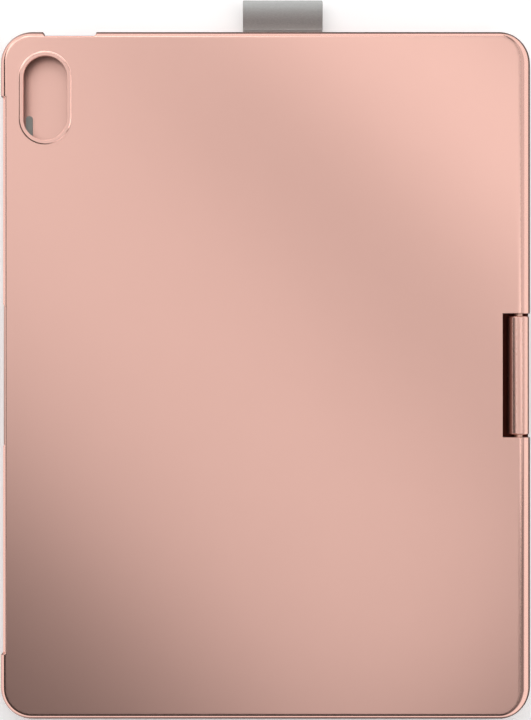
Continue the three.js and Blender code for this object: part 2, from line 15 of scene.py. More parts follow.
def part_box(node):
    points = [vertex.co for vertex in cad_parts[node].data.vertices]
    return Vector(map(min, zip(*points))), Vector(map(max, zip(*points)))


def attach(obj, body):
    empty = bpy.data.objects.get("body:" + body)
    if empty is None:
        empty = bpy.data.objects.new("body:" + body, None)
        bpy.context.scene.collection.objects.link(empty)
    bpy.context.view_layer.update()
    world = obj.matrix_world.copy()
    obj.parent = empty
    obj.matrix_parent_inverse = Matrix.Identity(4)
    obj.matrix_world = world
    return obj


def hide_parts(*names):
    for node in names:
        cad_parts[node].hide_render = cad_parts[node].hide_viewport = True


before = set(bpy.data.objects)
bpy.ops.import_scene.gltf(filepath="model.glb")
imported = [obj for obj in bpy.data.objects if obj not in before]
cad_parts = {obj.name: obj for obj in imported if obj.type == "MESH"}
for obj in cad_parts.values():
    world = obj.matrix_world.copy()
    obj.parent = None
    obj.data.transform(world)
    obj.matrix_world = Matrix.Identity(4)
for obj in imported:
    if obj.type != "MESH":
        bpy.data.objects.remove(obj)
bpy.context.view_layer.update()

MM = 0.001
LID_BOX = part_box("lid_shell")
MIDDLE_X = (LID_BOX[0].x + LID_BOX[1].x) / 2

# ---------------------------------------------------------------- sizes, in millimetres
# the lid: half its length and depth, its heights and edges
LID_X, LID_Y = 125.95, 97.15
LID_LOW, LID_TOP = 8.6, 17.0
LID_CORNER, LID_FILLET, LID_UNDER_FILLET = 11.5, 2.3, 0.3
PLATE_UNDER = 15.6
# the tray in it, and the lip at the corners of its mouth
TRAY_X, TRAY_FRONT, TRAY_REAR = 124.0, -95.2, 83.7
TRAY_CORNER = 9.55
TRAY_MIDDLE = (TRAY_FRONT + TRAY_REAR) / 2
TABLET_MIDDLE = 12.15
LIP, LIP_RUN, LIP_TOP = 1.1, 22.0, 9.15
FELT_GAP, FELT_THICK, FELT_BED, FELT_HOLE = 0.5, 0.4, 0.05, 1.2
# the hinge's axis, the round spine and the barrel's notch
HINGE_Y, HINGE_Z = 92.95, 12.8
SPINE, SPINE_RUN = 4.2, 4.9
NOTCH_X, NOTCH_Y = 22.7, 86.7
POCKET_NEAR, POCKET_FAR, POCKET_FRONT, POCKET_R = 23.9, 62.0, 86.0, 3.0
# the camera's opening and its raised rim
CAMERA_X, CAMERA_Y = -101.55, -80.75
CAMERA_LONG, CAMERA_WIDE, CAMERA_RIM, CAMERA_RAISED = 30.9, 16.0, 1.95, 0.3
RIM_SLOPE = 0.8
# the cuts in the lid's edge and the slots in its side walls
FRONT_CUT_X, FRONT_CUT_DEEP, FRONT_CHAMFER = 102.3, 1.85, 0.7
POWER_FROM, POWER_TO, POWER_DEEP, POWER_CHAMFER = -81.6, -62.1, 1.6, 0.7
CUT_ROUND = 0.55
SPEAKER_OUT, SPEAKER_LONG, SPEAKER_WIDE = 42, 26, 2.6
PLUG_LONG, PLUG_WIDE = 13, 5

# the base: half its length, its ends, its heights from the feet up
BASE_X, BASE_FRONT, BASE_REAR = 125.55, -97.3, 96.75
BASE_CORNER, BASE_WALL = 11.1, 1.6
COVER_LOW, COVER_TOP, COVER_FILLET = 1.2, 2.4, 1.1
DECK_LOW, DECK_UNDER, WELL_FLOOR, BASE_TOP = 2.5, 6.2, 6.8, 8.0
DECK_SLOPE, DECK_SLOPE_HIGH = 0.9, 0.75
SCOOP_RIM, SCOOP_FLOOR, SCOOP_DEEP, SCOOP_LOW = 26.3, 22.5, 3.2, 5.2
SCOOP_BACK_X, SCOOP_BACK_DEEP = 28, 4.8
REAR_GAP_X, REAR_GAP_Y = 24, 82.9

KEY_PITCH, FUNCTION_PITCH, KEY_SPACE = 16.5, 11.5, 2.0
KEY_TOP, KEY_LOW, KEY_EDGE = 7.9, 5.6, 0.4
KEY_REAR, ROW_UNITS, KEY_CLEAR = 76.5, 14.5, 0.4
HALF_KEY_SPACE = 0.5
KEY_CORNER = 1.7
WELL_MARGIN, WELL_CORNER = 2, 3

PAD_X, PAD_REAR, PAD_FRONT, PAD_CORNER = 52.5, -24.0, -86.0, 3.0
PAD_LOW, PAD_TOP, PAD_CLEAR = 7.0, 7.9, 0.4

LOOP_Y, LOOP_WIDE, LOOP_Z = 6.3, 29.6, 4.4
LOOP_HIGH, LOOP_THICK = 8.0, 1.0
LOOP_TIP, LOOP_NECK = -139.25, -128.3

BARREL_X, BARREL_R, BARREL_FLAT, BARREL_EDGE = 21.7, 3.9, 0.83, 0.45
PIN_R, PIN_DEEP = 1.6, 9
POST_HOLE_R, POST_HOLE_TOP = 3.65, 9.35
PORT_Y, PORT_Z, PORT_LONG, PORT_HIGH, PORT_WALL = 81.5, 4.5, 9.4, 3.4, 0.3
SWITCH_Y, SWITCH_Z = 81.5, 4.7
KNOB_FRONT, KNOB_REAR, KNOB_HIGH, KNOB_OUT = 3.2, 0.4, 1.4, 0.3
KNOB_PLATE_LONG, KNOB_PLATE_HIGH, KNOB_PLATE_IN = 3.4, 2.6, 1.9
LIGHT_X, LIGHT_Y, LIGHT_R = 100.0, 85.0, 1.0
SCREWS = [(-117, -86), (117, -86), (-40, 87), (40, 87)]
SCREW_HEAD_R, SCREW_SHANK_R, SCREW_SUNK, SCREW_TOP = 1.6, 0.8, 0.1, 5.2
FOOT_X, FOOT_Y, FOOT_LONG, FOOT_WIDE = 98, 82, 22, 6
BUMPER_X, BUMPER_FRONT, BUMPER_REAR = 89.9, -87.45, 80.4
BUMPER_LONG, BUMPER_WIDE, BUMPER_HIGH = 12, 2.6, 0.5
CORNERS = [(-1, -1), (1, -1), (-1, 1), (1, 1)]


def P(x, y, z):
    """A point in metres from millimetres counted from the middle of the lid."""
    return Vector((x * MM + MIDDLE_X, y * MM, z * MM))


# ---------------------------------------------------------------- outlines
def rounded(points, radius, fine=4):
    """A polygon with its corners rounded by one radius, or by one for each corner."""
    out = []
    for i, point in enumerate(points):
        r = radius[i] if hasattr(radius, "__len__") else radius
        p = Vector(point)
        if r <= 0:
            out.append(tuple(p))
            continue
        a = (Vector(points[i - 1]) - p).normalized()
        b = (Vector(points[(i + 1) % len(points)]) - p).normalized()
        half = a.angle(b) / 2
        centre = p + (a + b).normalized() * (r / math.sin(half))
        start = p + a * (r / math.tan(half)) - centre
        end = p + b * (r / math.tan(half)) - centre
        first = math.atan2(start.y, start.x)
        turn = math.atan2(end.y, end.x) - first
        turn = (turn + math.pi) % (2 * math.pi) - math.pi
        for k in range(fine + 1):
            angle = first + turn * k / fine
            out.append((centre.x + r * math.cos(angle), centre.y + r * math.sin(angle)))
    return out


def rect(x0, x1, y0, y1, r=0.0, fine=4):
    return rounded([(x0, y0), (x1, y0), (x1, y1), (x0, y1)], r, fine)


def capsule(x, y, long, wide, fine=12):
    """A slot shape, long along its first axis."""
    reach, r = (long - wide) / 2, wide / 2
    out = []
    for side, first in ((1, -math.pi / 2), (-1, math.pi / 2)):
        for k in range(fine + 1):
            angle = first + math.pi * k / fine
            out.append((x + side * reach + r * math.cos(angle), y + r * math.sin(angle)))
    return out


def circle(x, y, r, fine=32):
    angles = [2 * math.pi * k / fine for k in range(fine)]
    return [(x + r * math.cos(a), y + r * math.sin(a)) for a in angles]


# ---------------------------------------------------------------- meshes
def mesh_object(name, points, faces):
    mesh = bpy.data.meshes.new(name)
    mesh.from_pydata(points, [], faces)
    obj = bpy.data.objects.new(name, mesh)
    bpy.context.scene.collection.objects.link(obj)
    shape = bmesh.new()
    shape.from_mesh(mesh)
    bmesh.ops.recalc_face_normals(shape, faces=shape.faces)
    shape.to_mesh(mesh)
    shape.free()
    return obj


def loft(name, rings):
    """A closed solid through rings of points, capped at both ends."""
    count = len(rings[0])
    points = [p for ring in rings for p in ring]
    faces = []
    for i in range(len(rings) - 1):
        a, b = i * count, (i + 1) * count
        for k in range(count):
            n = (k + 1) % count
            faces.append((a + k, a + n, b + n, b + k))
    faces.append(tuple(reversed(range(count))))
    faces.append(tuple(len(points) - count + k for k in range(count)))
    return mesh_object(name, points, faces)


def prism(outline, z0, z1, name="tool"):
    return loft(name, [[P(x, y, z) for x, y in outline] for z in (z0, z1)])


def prism_x(outline, x0, x1, name="tool"):
    """A shape in Y and Z, running along X."""
    return loft(name, [[P(x, y, z) for y, z in outline] for x in (x0, x1)])


def prism_y(outline, y0, y1, name="tool"):
    """A shape in X and Z, running along Y."""
    return loft(name, [[P(x, y, z) for x, z in outline] for y in (y0, y1)])


def slab(name, outline_at, profile):
    """Outlines drawn in by each inset of a profile of (inset, height), stacked."""
    return loft(name, [[P(x, y, z) for x, y in outline_at(inset)] for inset, z in profile])


def arc_profile(radius, level, up=True, fine=6):
    """A rounded edge for a slab's profile, ending at a level on top or starting at one below."""
    out = []
    for k in range(fine + 1):
        a = math.pi / 2 * k / fine
        if up:
            out.append((radius * (1 - math.cos(a)), level - radius + radius * math.sin(a)))
        else:
            out.append((radius * (1 - math.sin(a)), level + radius - radius * math.cos(a)))
    return out


def join(name, parts):
    """One object from several."""
    shape = bmesh.new()
    for obj in parts:
        shape.from_mesh(obj.data)
        bpy.data.objects.remove(obj)
    mesh = bpy.data.meshes.new(name)
    shape.to_mesh(mesh)
    shape.free()
    obj = bpy.data.objects.new(name, mesh)
    bpy.context.scene.collection.objects.link(obj)
    return obj


def settle(obj):
    """Applies an object's modifiers to its mesh."""
    bpy.context.view_layer.update()
    graph = bpy.context.evaluated_depsgraph_get()
    mesh = bpy.data.meshes.new_from_object(obj.evaluated_get(graph))
    obj.modifiers.clear()
    obj.data = mesh


def carve(obj, *tools, how="DIFFERENCE"):
    for tool in tools:
        step = obj.modifiers.new("carve", "BOOLEAN")
        step.operation = how
        step.solver = "EXACT"
        step.object = tool
    settle(obj)
    for tool in tools:
        bpy.data.objects.remove(tool)


def soften(obj, width, segments=2, angle=35):
    """Breaks the sharp edges by a width in millimetres."""
    shape = bmesh.new()
    shape.from_mesh(obj.data)
    bmesh.ops.remove_doubles(shape, verts=shape.verts, dist=2e-6)
    bmesh.ops.dissolve_limit(
        shape, angle_limit=math.radians(0.4), verts=shape.verts, edges=shape.edges
    )
    shape.to_mesh(obj.data)
    shape.free()
    edges = obj.modifiers.new("edges", "BEVEL")
    edges.limit_method = "ANGLE"
    edges.angle_limit = math.radians(angle)
    edges.width = width * MM
    edges.segments = segments
    edges.use_clamp_overlap = False
    settle(obj)


def smooth(obj, angle=38):
    obj.data.polygons.foreach_set("use_smooth", [True] * len(obj.data.polygons))
    obj.data.set_sharp_from_angle(angle=math.radians(angle))
    normals = obj.modifiers.new("normals", "WEIGHTED_NORMAL")
    normals.keep_sharp = True


def lathe(name, profile, place, fine=48):
    """A profile of (radius, height) turned round an axis. place(u, v, height) gives each point."""
    rings = []
    for r, h in profile:
        angles = [2 * math.pi * k / fine for k in range(fine)]
        rings.append([place(r * math.cos(a), r * math.sin(a), h) for a in angles])
    return loft(name, rings)


# ---------------------------------------------------------------- materials
class Material:
    """A node-based finish: colour and roughness that vary a little, and a fine relief."""

    def __init__(self, name, color, roughness, metallic=0.0):
        self.mat = bpy.data.materials.new(name)
        self.mat.use_nodes = True
        self.tree = self.mat.node_tree
        self.bsdf = self.tree.nodes["Principled BSDF"]
        self.place = self.node("ShaderNodeTexCoord").outputs["Object"]
        self.height = None
        self.color = color
        self.bsdf.inputs["Base Color"].default_value = (*color, 1)
        self.bsdf.inputs["Roughness"].default_value = roughness
        self.bsdf.inputs["Metallic"].default_value = metallic
        self.roughness = roughness

    def node(self, kind, **values):
        made = self.tree.nodes.new(kind)
        for key, value in values.items():
            setattr(made, key, value)
        return made

    def link(self, a, b):
        self.tree.links.new(a, b)

    def noise(self, scale, detail=3.0, stretch=(1, 1, 1), roughness=0.5):
        """Noise with features about 1 / scale metres across."""
        mapping = self.node("ShaderNodeMapping")
        mapping.inputs["Scale"].default_value = stretch
        noise = self.node("ShaderNodeTexNoise")
        noise.inputs["Scale"].default_value = scale
        noise.inputs["Detail"].default_value = detail
        noise.inputs["Roughness"].default_value = roughness
        self.link(self.place, mapping.inputs["Vector"])
        self.link(mapping.outputs["Vector"], noise.inputs["Vector"])
        return noise.outputs["Fac"]

    def wave(self, scale, direction="X", distortion=0.0):
        wave = self.node("ShaderNodeTexWave", bands_direction=direction)
        wave.inputs["Scale"].default_value = scale
        wave.inputs["Distortion"].default_value = distortion
        self.link(self.place, wave.inputs["Vector"])
        return wave.outputs["Fac"]

    def spread(self, value, low, high, from_low=0.3, from_high=0.7):
        ranged = self.node("ShaderNodeMapRange")
        ranged.inputs["From Min"].default_value = from_low
        ranged.inputs["From Max"].default_value = from_high
        ranged.inputs["To Min"].default_value = low
        ranged.inputs["To Max"].default_value = high
        self.link(value, ranged.inputs["Value"])
        return ranged.outputs["Result"]

    def combine(self, a, b, how="MULTIPLY"):
        math_node = self.node("ShaderNodeMath", operation=how)
        self.link(a, math_node.inputs[0])
        self.link(b, math_node.inputs[1])
        return math_node.outputs["Value"]

    def tint(self, value, other):
        """The base colour moves to another one by a value from 0 to 1."""
        mix = self.node("ShaderNodeMix", data_type="RGBA")
        mix.inputs["A"].default_value = (*self.color, 1)
        mix.inputs["B"].default_value = (*other, 1)
        self.link(value, mix.inputs["Factor"])
        self.link(mix.outputs["Result"], self.bsdf.inputs["Base Color"])
        return self

    def vary_roughness(self, value, amount):
        ranged = self.spread(value, self.roughness - amount, self.roughness + amount)
        self.link(ranged, self.bsdf.inputs["Roughness"])
        return self

    def relief(self, value, depth_mm, strength=1.0):
        bump = self.node("ShaderNodeBump")
        bump.inputs["Strength"].default_value = strength
        bump.inputs["Distance"].default_value = depth_mm * MM
        self.link(value, bump.inputs["Height"])
        if self.height is not None:
            self.link(self.height, bump.inputs["Normal"])
        self.height = bump.outputs["Normal"]
        self.link(self.height, self.bsdf.inputs["Normal"])
        return self

    def set(self, **values):
        for key, value in values.items():
            self.bsdf.inputs[key.replace("_", " ")].default_value = value
        return self


def shade(color, factor):
    return tuple(c * factor for c in color)


ROSE = (0.80, 0.483, 0.413)
# roughness of the metal's flats, of the barrel and of the rounded edges
SATIN, BRUSHED, POLISHED = 0.31, 0.24, 0.13
# painted shade on the loop's webbing: it darkens along X over the first stretch, where the band turns
# from the light towards the lid, and is paler again past the second
PAINTED_SHADE_OUTER, PAINTED_SHADE_INNER = (-136.3, -131.6), (-130.5, -127.5)
GLOW = 0.25


def rose_metal(name, polished):
    """Satin anodised metal; its rounded edges are as smooth as is asked."""
    m = Material(name, ROSE, SATIN, metallic=0.97)
    m.tint(m.spread(m.noise(28, detail=2), 0.0, 0.25), shade(ROSE, 0.95))
    m.relief(m.noise(3400, detail=2), 0.006, strength=0.2)
    # satin where the piece is flat or upright, polished where it is between
    split = m.node("ShaderNodeSeparateXYZ")
    m.link(m.node("ShaderNodeTexCoord").outputs["Normal"], split.inputs["Vector"])
    rise = m.node("ShaderNodeMath", operation="ABSOLUTE")
    m.link(split.outputs["Z"], rise.inputs[0])
    flat = m.spread(rise.outputs["Value"], 0.0, 1.0, 0.95, 0.995)
    wall = m.spread(rise.outputs["Value"], 1.0, 0.0, 0.05, 0.15)
    satin = m.combine(flat, wall, "MAXIMUM")
    grain = m.spread(m.noise(900, detail=3), -0.012, 0.012)
    smoothness = m.spread(satin, polished, SATIN, 0.0, 1.0)
    m.link(m.combine(smoothness, grain, "ADD"), m.bsdf.inputs["Roughness"])
    return m.mat


def painted_shade_metal():
    """The same metal on a cut face, hardly shiny, and darkened by a painted shade."""
    # painted shade: the colour is the rose metal darkened to 0.4
    m = Material("rose_gold_painted_shade", shade(ROSE, 0.4), 0.55, metallic=0.97)
    m.vary_roughness(m.noise(900, detail=3), 0.04)
    m.relief(m.noise(2500, detail=2), 0.006, strength=0.2)
    return m.mat


def key_plastic():
    m = Material("keycap_plastic", (0.86, 0.84, 0.83), 0.5)
    m.tint(m.spread(m.noise(60, detail=2), 0.0, 1.0), (0.80, 0.78, 0.77))
    m.vary_roughness(m.noise(700, detail=3), 0.06)
    m.relief(m.noise(3200, detail=2), 0.02, strength=0.5)
    return m.mat


def rubber():
    m = Material("grey_rubber", (0.35, 0.355, 0.33), 0.75)
    m.tint(m.spread(m.noise(900, detail=4), 0.0, 1.0), (0.30, 0.305, 0.285))
    m.vary_roughness(m.noise(500), 0.08)
    m.relief(m.noise(2500, detail=4), 0.05, strength=0.6)
    return m.mat


def steel(name, color):
    m = Material(name, color, 0.3, metallic=1.0)
    brushed = m.noise(400, detail=5, stretch=(1, 14, 14))
    m.vary_roughness(brushed, 0.1)
    m.tint(m.spread(brushed, 0.0, 0.4), shade(color, 0.8))
    m.relief(brushed, 0.01, strength=0.5)
    return m.mat


def dark_metal():
    color = (0.045, 0.008, 0.004)
    m = Material("dark_bronze", color, 0.4, metallic=0.9)
    m.tint(m.spread(m.noise(200), 0.0, 1.0), shade(color, 1.3))
    m.vary_roughness(m.noise(900), 0.05)
    m.relief(m.noise(2500), 0.015, strength=0.5)
    return m.mat


def webbing():
    """Elastic: ribs crossed by finer picks, with soft fibre and a painted shade across its middle."""
    color = (0.5, 0.5, 0.49)
    m = Material("grey_elastic", color, 0.85)
    m.set(Sheen_Weight=0.25, Sheen_Roughness=0.5)
    ribs = m.wave(850, "Y")
    picks = m.noise(1500, detail=3, stretch=(3.0, 0.8, 3.0))
    weave = m.spread(m.combine(ribs, picks), 0.0, 0.5, 0.1, 0.6)
    along = m.node("ShaderNodeSeparateXYZ")
    m.link(m.place, along.inputs["Vector"])
    # painted shade: darker across the middle of the band, lighter at its tip and near the lid
    outside = m.spread(along.outputs["X"], 0.0, 0.5, *(P(x, 0, 0).x for x in PAINTED_SHADE_OUTER))
    inside = m.spread(along.outputs["X"], 1.0, 0.2, *(P(x, 0, 0).x for x in PAINTED_SHADE_INNER))
    m.tint(m.combine(weave, m.combine(outside, inside), "ADD"), shade(color, 0.45))
    m.vary_roughness(picks, 0.08)
    m.relief(ribs, 0.06, strength=0.7)
    m.relief(picks, 0.05, strength=0.6)
    return m.mat


def felt():
    color = (0.075, 0.026, 0.014)
    m = Material("brown_felt", color, 0.95)
    m.set(Sheen_Weight=0.5, Sheen_Roughness=0.6)
    nap = m.noise(1800, detail=6, roughness=0.7)
    m.tint(m.spread(m.noise(220, detail=5), 0.0, 1.0), shade(color, 1.35))
    m.relief(nap, 0.15, strength=0.8)
    return m.mat


def trackpad_satin():
    color = (0.82, 0.60, 0.54)
    m = Material("trackpad_satin", color, 0.28, metallic=0.1)
    m.tint(m.spread(m.noise(40, detail=2), 0.0, 0.6), shade(color, 0.95))
    m.vary_roughness(m.noise(60), 0.02)
    return m.mat


def clear_plastic():
    m = Material("clear_plastic", (0.86, 0.90, 0.92), 0.15)
    m.set(Transmission_Weight=0.7, IOR=1.49)
    m.vary_roughness(m.noise(600), 0.05)
    m.relief(m.noise(900), 0.01, strength=0.3)
    return m.mat


def dark_plastic():
    color = (0.055, 0.053, 0.055)
    m = Material("dark_plastic", color, 0.5)
    m.tint(m.spread(m.noise(150), 0.0, 1.0), shade(color, 1.25))
    m.vary_roughness(m.noise(900), 0.06)
    m.relief(m.noise(3000), 0.02, strength=0.5)
    return m.mat


def silicone():
    m = Material("dome_silicone", (0.72, 0.74, 0.73), 0.55)
    m.set(Subsurface_Weight=0.1)
    m.vary_roughness(m.noise(500), 0.05)
    m.relief(m.noise(900), 0.03, strength=0.4)
    return m.mat


def foil():
    m = Material("battery_foil", (0.6, 0.62, 0.65), 0.35, metallic=0.9)
    m.vary_roughness(m.noise(90), 0.08)
    m.relief(m.noise(130, detail=4), 0.15, strength=0.6)
    return m.mat


def board_green():
    color = (0.03, 0.14, 0.06)
    m = Material("circuit_board", color, 0.4)
    traces = m.wave(180, "X", distortion=2.0)
    m.tint(m.spread(traces, 0.0, 1.0, 0.45, 0.55), shade(color, 1.8))
    m.relief(traces, 0.03, strength=0.6)
    return m.mat


def pale_floor():
    """A floor lit a little from below, as a light table is."""
    m = Material("pale_floor", (0.93, 0.93, 0.93), 0.6)
    m.tint(m.spread(m.noise(6, detail=2), 0.0, 1.0), (0.915, 0.915, 0.915))
    m.set(Emission_Color=(1, 1, 1, 1), Emission_Strength=GLOW)
    m.relief(m.noise(300), 0.05, strength=0.1)
    return m.mat


ROSE_METAL = rose_metal("rose_gold_satin", POLISHED)
BARREL_METAL = rose_metal("rose_gold_barrel", BRUSHED)
PAINTED_SHADE_METAL = painted_shade_metal()
KEY_PLASTIC = key_plastic()
RUBBER = rubber()
STEEL = steel("brushed_steel", (0.62, 0.61, 0.60))
PLATED_STEEL = steel("rose_plated_steel", (0.68, 0.42, 0.34))
BRONZE = dark_metal()
WEBBING = webbing()
FELT = felt()
TRACKPAD = trackpad_satin()
CLEAR = clear_plastic()
DARK = dark_plastic()
SILICONE = silicone()
FOIL = foil()
BOARD = board_green()


def paint(obj, material):
    obj.data.materials.clear()
    obj.data.materials.append(material)
    obj.data.polygons.foreach_set("material_index", [0] * len(obj.data.polygons))


def add(obj, material, body, slot, *nodes):
    """The piece gets its finish, rides on its body and stands for its CAD nodes."""
    paint(obj, material)
    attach(obj, body)
    if nodes:
        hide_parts(*nodes)
    return obj


# ---------------------------------------------------------------- lid
def lid_outline(fine=18):
    """Points of (x, y, outward x, outward y, how far the point belongs to the rear spine)."""
    out = []
    x, y = LID_X - LID_CORNER, LID_Y - LID_CORNER
    for quarter, (sx, sy) in enumerate([(1, 1), (-1, 1), (-1, -1), (1, -1)]):
        for k in range(fine + 1):
            angle = math.pi / 2 * (quarter + k / fine)
            nx, ny = math.cos(angle), math.sin(angle)
            spine = max(0.0, math.asin(max(-1.0, min(1.0, ny))) / (math.pi / 2))
            spine = spine * spine * (3 - 2 * spine)
            out.append((sx * x + LID_CORNER * nx, sy * y + LID_CORNER * ny, nx, ny, spine))
    return out


def lid_blank():
    """The lid's outside: a plate with a rounded top edge, and a half-round spine at the rear."""
    r = LID_UNDER_FILLET
    side = [(r * (1 - math.sin(a)), LID_LOW + r * (1 - math.cos(a)))
            for a in (math.pi / 2 * k / 4 for k in range(5))]
    rise = LID_TOP - LID_FILLET
    side += [(0.0, LID_LOW + r + (rise - LID_LOW - r) * k / 12) for k in range(1, 13)]
    side += arc_profile(LID_FILLET, LID_TOP, fine=20)[1:]
    count = len(side)
    # as many points as the side has, so that one passes into the other
    rear = []
    for k in range(count):
        angle = math.pi * (k / (count - 1) - 0.5)
        run = SPINE if angle < 0 else SPINE_RUN
        rear.append((run * (1 - math.cos(angle)), HINGE_Z + SPINE * math.sin(angle)))
    outline = lid_outline()
    rings = []
    for (side_in, side_z), (rear_in, rear_z) in zip(side, rear):
        ring = []
        for x, y, nx, ny, t in outline:
            inset = side_in + (rear_in - side_in) * t
            z = side_z + (rear_z - side_z) * t
            ring.append(P(x - nx * inset, y - ny * inset, z))
        rings.append(ring)
    return loft("lid_back_shell", rings)


def tray_tools():
    """The tray, open through the front wall and the power-button cut, and its lipped mouth."""
    out_front, out_side = -LID_Y - 3, -LID_X - 3
    tray = rounded(
        [
            (-FRONT_CUT_X, out_front), (FRONT_CUT_X, out_front),
            (FRONT_CUT_X, TRAY_FRONT), (TRAY_X, TRAY_FRONT),
            (TRAY_X, TRAY_REAR), (-TRAY_X, TRAY_REAR),
            (-TRAY_X, POWER_TO), (out_side, POWER_TO),
            (out_side, POWER_FROM), (-TRAY_X, POWER_FROM),
            (-TRAY_X, TRAY_FRONT), (-FRONT_CUT_X, TRAY_FRONT),
        ],
        [0, 0, 0, TRAY_CORNER, TRAY_CORNER, TRAY_CORNER, 0, 0, 0, 0, TRAY_CORNER, 0],
        fine=10,
    )
    x, front, rear = TRAY_X, TRAY_FRONT, TRAY_REAR
    inner = TRAY_CORNER - LIP
    mouth = rounded(
        [
            (-x + LIP_RUN, out_front), (x - LIP_RUN, out_front),
            (x - LIP_RUN, front + LIP), (x - LIP, front + LIP), (x - LIP, front + LIP_RUN),
            (x, front + LIP_RUN), (x, rear - LIP_RUN),
            (x - LIP, rear - LIP_RUN), (x - LIP, rear - LIP), (x - LIP_RUN, rear - LIP),
            (x - LIP_RUN, rear), (-x + LIP_RUN, rear),
            (-x + LIP_RUN, rear - LIP), (-x + LIP, rear - LIP), (-x + LIP, rear - LIP_RUN),
            (-x, rear - LIP_RUN), (-x, POWER_TO), (out_side, POWER_TO),
            (out_side, POWER_FROM), (-x + LIP, POWER_FROM),
            (-x + LIP, front + LIP), (-x + LIP_RUN, front + LIP),
        ],
        [0, 0, 0, inner, 0, 0, 0, 0, inner, 0, 0, 0, 0, inner, 0, 0, 0, 0, 0, 0, inner, 0],
        fine=10,
    )
    return prism(tray, LIP_TOP, PLATE_UNDER), prism(mouth, LID_LOW - 1, LIP_TOP + 0.05)


def edge_cuts():
    """The cuts through the lid's edge: along the front, and over the power button.

    Both widen towards the top, which leaves a rounded edge on the plate.
    """
    front, power = [], []
    for e, z in [(0, LID_LOW - 1), *arc_profile(CUT_ROUND, LID_TOP, fine=6), (CUT_ROUND, LID_TOP + 1)]:
        x, y = FRONT_CUT_X + e, -LID_Y + FRONT_CUT_DEEP + e
        ring = [
            (-x, -LID_Y - 3), (x, -LID_Y - 3), (x, y - FRONT_CHAMFER), (x - FRONT_CHAMFER, y),
            (-x + FRONT_CHAMFER, y), (-x, y - FRONT_CHAMFER),
        ]
        front.append([P(u, v, z) for u, v in ring])
        deep, first, last = -LID_X + POWER_DEEP + e, POWER_FROM - e, POWER_TO + e
        ring = [
            (-LID_X - 3, first), (deep - POWER_CHAMFER, first),
            (deep, first + POWER_CHAMFER), (deep, last - POWER_CHAMFER),
            (deep - POWER_CHAMFER, last), (-LID_X - 3, last),
        ]
        power.append([P(u, v, z) for u, v in ring])
    return loft("tool", front), loft("tool", power)


def wall_slots():
    """Two speaker slots in each side wall, and one for the tablet's plug."""
    tools = []
    for s in (-1, 1):
        x0, x1 = sorted((s * (TRAY_X - 1), s * (LID_X + 1)))
        for offset in (-SPEAKER_OUT, SPEAKER_OUT):
            outline = capsule(TRAY_MIDDLE + offset, TABLET_MIDDLE, SPEAKER_LONG, SPEAKER_WIDE)
            tools.append(prism_x(outline, x0, x1))
    plug = capsule(TRAY_MIDDLE, TABLET_MIDDLE, PLUG_LONG, PLUG_WIDE)
    tools.append(prism_x(plug, TRAY_X - 1, LID_X + 1))
    return join("tool", tools)


def spine_pockets():
    """Room for the hinge brackets, and the holes that the pins come in by."""
    r = POCKET_R
    profile = [(POCKET_FRONT, LID_LOW - 1), (HINGE_Y, LID_LOW - 1), (HINGE_Y, HINGE_Z - r)]
    last = math.asin((PLATE_UNDER - HINGE_Z) / r)
    for k in range(17):
        angle = -math.pi / 2 + (last + math.pi / 2) * k / 16
        profile.append((HINGE_Y + r * math.cos(angle), HINGE_Z + r * math.sin(angle)))
    profile.append((POCKET_FRONT, PLATE_UNDER))
    pockets, holes = [], []
    for s in (-1, 1):
        x0, x1 = sorted((s * POCKET_NEAR, s * POCKET_FAR))
        pockets.append(prism_x(profile, x0, x1))
        h0, h1 = sorted((s * (NOTCH_X - 1), s * (POCKET_NEAR + 1)))
        holes.append(prism_x(circle(HINGE_Y, HINGE_Z, PIN_R + 0.5, 24), h0, h1))
    return join("tool", pockets), join("tool", holes)


def build_lid():
    shell = lid_blank()

    def rim_at(inset):
        more = 2 * (CAMERA_RIM - inset)
        return capsule(CAMERA_X, CAMERA_Y, CAMERA_LONG + more, CAMERA_WIDE + more, fine=28)

    high = LID_TOP + CAMERA_RAISED
    profile = [(0, PLATE_UNDER + 0.5), (0, LID_TOP)]
    profile += [(RIM_SLOPE - 0.15, high - 0.03), (RIM_SLOPE, high)]
    rim = slab("tool", rim_at, profile)
    carve(shell, rim, how="UNION")
    hole = capsule(CAMERA_X, CAMERA_Y, CAMERA_LONG, CAMERA_WIDE, fine=28)
    hole = prism(hole, LID_LOW - 1, LID_TOP + 2)
    notch = prism(rect(-NOTCH_X, NOTCH_X, NOTCH_Y, LID_Y + 2), LID_LOW - 1, LID_TOP + 1)
    carve(shell, *tray_tools(), hole, notch, *edge_cuts(), wall_slots(), *spine_pockets())
    soften(shell, 0.16)
    smooth(shell)
    add(shell, ROSE_METAL, "lid", "shell", "lid_shell")
    # the notch's cut face towards the barrel is left rough and painted darker, a painted shade for the
    # deep gap beside the barrel
    shell.data.materials.append(PAINTED_SHADE_METAL)
    for face in shell.data.polygons:
        near = abs(face.center.y - NOTCH_Y * MM) < 0.1 * MM
        if near and face.normal.y > 0.9 and abs(face.center.x - MIDDLE_X) < NOTCH_X * MM:
            face.material_index = 1


def build_tray_lining():
    """Felt on the tray's floor, with softened edges."""
    high = PLATE_UNDER - FELT_BED
    low = PLATE_UNDER - (FELT_THICK + FELT_BED)

    def outline(inset):
        e = FELT_GAP + inset
        corner = TRAY_CORNER - e
        return rect(-TRAY_X + e, TRAY_X - e, TRAY_FRONT + e, TRAY_REAR - e, corner, 12)

    sheet = slab("tray_felt", outline, [(0.2, low), (0.05, low + 0.08), (0, low + 0.2), (0, high)])
    hole_long, hole_wide = CAMERA_LONG + FELT_HOLE, CAMERA_WIDE + FELT_HOLE
    hole = capsule(CAMERA_X, CAMERA_Y, hole_long, hole_wide, fine=24)
    carve(sheet, prism(hole, low - 1, high + 1))
    smooth(sheet)
    add(sheet, FELT, "lid", "felt", "tray_lining")


